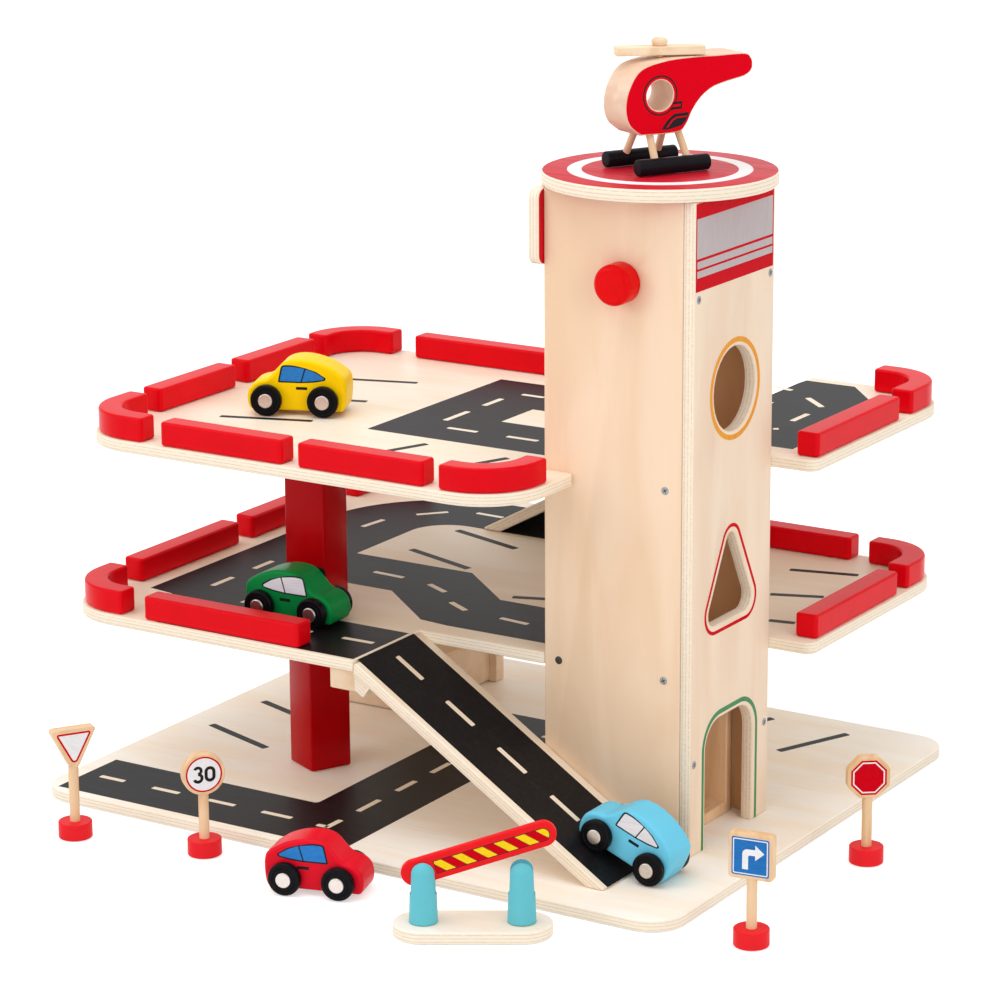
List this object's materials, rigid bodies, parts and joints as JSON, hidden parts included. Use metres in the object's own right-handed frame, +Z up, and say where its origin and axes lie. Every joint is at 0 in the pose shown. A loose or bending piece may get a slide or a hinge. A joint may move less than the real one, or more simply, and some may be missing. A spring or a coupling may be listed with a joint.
{
  "type": "toy parking garage with lift",
  "caption": "Wooden toy parking garage with railed decks, ramps, a crank lift in a square tower, a landing disc on top, and loose cars, helicopter, barrier and road signs.",
  "frame": {"origin": "centre of the base board's flat underside", "axes": "+Z up, +X along the long front edge towards the tower, +Y from the front edge to the back"},
  "size_m": [0.6463, 0.5967, 0.6107],
  "materials": {
    "birch_plywood": "clear satin lacquer on birch plywood, with printed black roads",
    "beech": "sanded and lacquered beech",
    "red_paint": "gloss red paint on wood",
    "turquoise_paint": "satin turquoise paint on wood",
    "yellow_paint": "gloss yellow paint on wood",
    "green_paint": "gloss green paint on wood",
    "blue_paint": "gloss sky blue paint on wood",
    "black_paint": "satin black paint on wood",
    "black_tyre": "gloss black wheel with a metallic hub",
    "lift_cord": "braided cord"
  },
  "bodies": {
    "garage": {"base_board": "birch_plywood", "mid_deck": "birch_plywood", "upper_deck": "birch_plywood", "tower_front_panel": "birch_plywood", "tower_right_panel": "birch_plywood", "tower_back_panel": "birch_plywood", "left_sign_board": "red_paint", "helipad_disc": "red_paint", "lower_post": "red_paint", "upper_post": "red_paint", "rear_support": "birch_plywood", "lower_ramp": "birch_plywood", "ramp_cleat": "beech", "upper_ramp": "birch_plywood", "lift_cord": "lift_cord", "mid_rail_front_left_corner": "red_paint", "mid_rail_rear_left_corner": "red_paint", "mid_rail_rear_right_corner": "red_paint", "mid_rail_front": "red_paint", "mid_rail_left_front": "red_paint", "mid_rail_left_rear": "red_paint", "mid_rail_rear": "red_paint", "mid_rail_right": "red_paint", "upper_rail_front_left_corner": "red_paint", "upper_rail_rear_left_corner": "red_paint", "upper_rail_rear_right_corner": "red_paint", "upper_rail_front_right_corner": "red_paint", "upper_rail_front_left": "red_paint", "upper_rail_front_right": "red_paint", "upper_rail_left_front": "red_paint", "upper_rail_left_rear": "red_paint", "upper_rail_rear": "red_paint", "upper_rail_right": "red_paint"},
    "lift": {"lift_cabin": "birch_plywood"},
    "crank": {"lift_spindle": "beech", "lift_knob": "red_paint"},
    "yellow_car": {"yellow_car_body": "yellow_paint"},
    "yellow_car_front_wheels": {"yellow_car_front_wheels": "black_tyre"},
    "yellow_car_rear_wheels": {"yellow_car_rear_wheels": "black_tyre"},
    "green_car": {"green_car_body": "green_paint"},
    "green_car_front_wheels": {"green_car_front_wheels": "black_tyre"},
    "green_car_rear_wheels": {"green_car_rear_wheels": "black_tyre"},
    "red_car": {"red_car_body": "red_paint"},
    "red_car_front_wheels": {"red_car_front_wheels": "black_tyre"},
    "red_car_rear_wheels": {"red_car_rear_wheels": "black_tyre"},
    "blue_car": {"blue_car_body": "blue_paint"},
    "blue_car_front_wheels": {"blue_car_front_wheels": "black_tyre"},
    "blue_car_rear_wheels": {"blue_car_rear_wheels": "black_tyre"},
    "helicopter": {"helicopter_body": "red_paint", "helicopter_left_skid": "black_paint", "helicopter_right_skid": "black_paint"},
    "rotor": {"helicopter_rotor": "beech"},
    "barrier": {"barrier_base": "birch_plywood", "barrier_pivot_post": "turquoise_paint", "barrier_rest_post": "turquoise_paint"},
    "barrier_arm": {"barrier_arm": "red_paint"},
    "triangle_sign": {"triangle_sign": "beech"},
    "round_sign": {"round_sign": "beech"},
    "square_sign": {"square_sign": "beech"},
    "octagon_sign": {"octagon_sign": "beech"}
  },
  "joints": [
    {"name": "lift_slide", "type": "slide", "parent": "garage", "child": "lift", "axis": [0, 0, 1], "range_m": [0, 0.2737], "deforming": ["lift_cord"]},
    {"name": "crank_turn", "type": "hinge", "parent": "garage", "child": "crank", "pos_m": [0.174, -0.1095, 0.44], "axis": [0, 1, 0], "range_deg": [0, 1255]},
    {"name": "yellow_car_lift_off", "type": "slide", "parent": "garage", "child": "yellow_car", "axis": [0, 0, 1], "range_m": [0, 0.1]},
    {"name": "yellow_car_front_axle", "type": "hinge", "parent": "yellow_car", "child": "yellow_car_front_wheels", "pos_m": [-0.173, -0.0639, 0.3048], "axis": [-0.3811, 0.9245, 0], "continuous": true},
    {"name": "yellow_car_rear_axle", "type": "hinge", "parent": "yellow_car", "child": "yellow_car_rear_wheels", "pos_m": [-0.13093, -0.04656, 0.3048], "axis": [-0.3811, 0.9245, 0], "continuous": true},
    {"name": "green_car_roll_out", "type": "slide", "parent": "garage", "child": "green_car", "axis": [0.9994, -0.0349, 0], "range_m": [0, 0.43]},
    {"name": "green_car_front_axle", "type": "hinge", "parent": "green_car", "child": "green_car_front_wheels", "pos_m": [-0.0765, -0.1339, 0.1618], "axis": [0.0436, -0.999, 0], "continuous": true},
    {"name": "green_car_rear_axle", "type": "hinge", "parent": "green_car", "child": "green_car_rear_wheels", "pos_m": [-0.12445, -0.13599, 0.1618], "axis": [0.0436, -0.999, 0], "continuous": true},
    {"name": "red_car_lift_off", "type": "slide", "parent": "garage", "child": "red_car", "axis": [0, 0, 1], "range_m": [0, 0.1]},
    {"name": "red_car_front_axle", "type": "hinge", "parent": "red_car", "child": "red_car_front_wheels", "pos_m": [0.0395, -0.2784, 0.0125], "axis": [0.2756, -0.9613, 0], "continuous": true},
    {"name": "red_car_rear_axle", "type": "hinge", "parent": "red_car", "child": "red_car_rear_wheels", "pos_m": [0.00009, -0.2897, 0.0125], "axis": [0.2756, -0.9613, 0], "continuous": true},
    {"name": "blue_car_lift_off", "type": "slide", "parent": "garage", "child": "blue_car", "axis": [0, 0, 1], "range_m": [0, 0.1]},
    {"name": "blue_car_front_axle", "type": "hinge", "parent": "blue_car", "child": "blue_car_front_wheels", "pos_m": [0.19121, -0.1555, 0.03946], "axis": [0, 1, 0], "continuous": true},
    {"name": "blue_car_rear_axle", "type": "hinge", "parent": "blue_car", "child": "blue_car_rear_wheels", "pos_m": [0.2353, -0.1555, 0.0218], "axis": [0, 1, 0], "continuous": true},
    {"name": "helicopter_lift_off", "type": "slide", "parent": "garage", "child": "helicopter", "axis": [0, 0, 1], "range_m": [0, 0.1]},
    {"name": "rotor_spin", "type": "hinge", "parent": "helicopter", "child": "rotor", "pos_m": [0.16925, -0.0489, 0.5978], "axis": [0, 0, 1], "continuous": true},
    {"name": "barrier_lift_off", "type": "slide", "parent": "garage", "child": "barrier", "axis": [0, 0, 1], "range_m": [0, 0.1]},
    {"name": "barrier_arm_swing", "type": "hinge", "parent": "barrier", "child": "barrier_arm", "pos_m": [0.13296, -0.31712, 0.0483], "axis": [0.5195, -0.8545, 0], "range_deg": [-17.8, 66]},
    {"name": "triangle_sign_lift_off", "type": "slide", "parent": "garage", "child": "triangle_sign", "axis": [0, 0, 1], "range_m": [0, 0.1]},
    {"name": "round_sign_lift_off", "type": "slide", "parent": "garage", "child": "round_sign", "axis": [0, 0, 1], "range_m": [0, 0.1]},
    {"name": "square_sign_lift_off", "type": "slide", "parent": "garage", "child": "square_sign", "axis": [0, 0, 1], "range_m": [0, 0.1]},
    {"name": "octagon_sign_lift_off", "type": "slide", "parent": "garage", "child": "octagon_sign", "axis": [0, 0, 1], "range_m": [0, 0.1]}
  ],
  "couplings": [
    {"joint": "crank_turn", "follows": "lift_slide", "rad_per_m": 80}
  ]
}
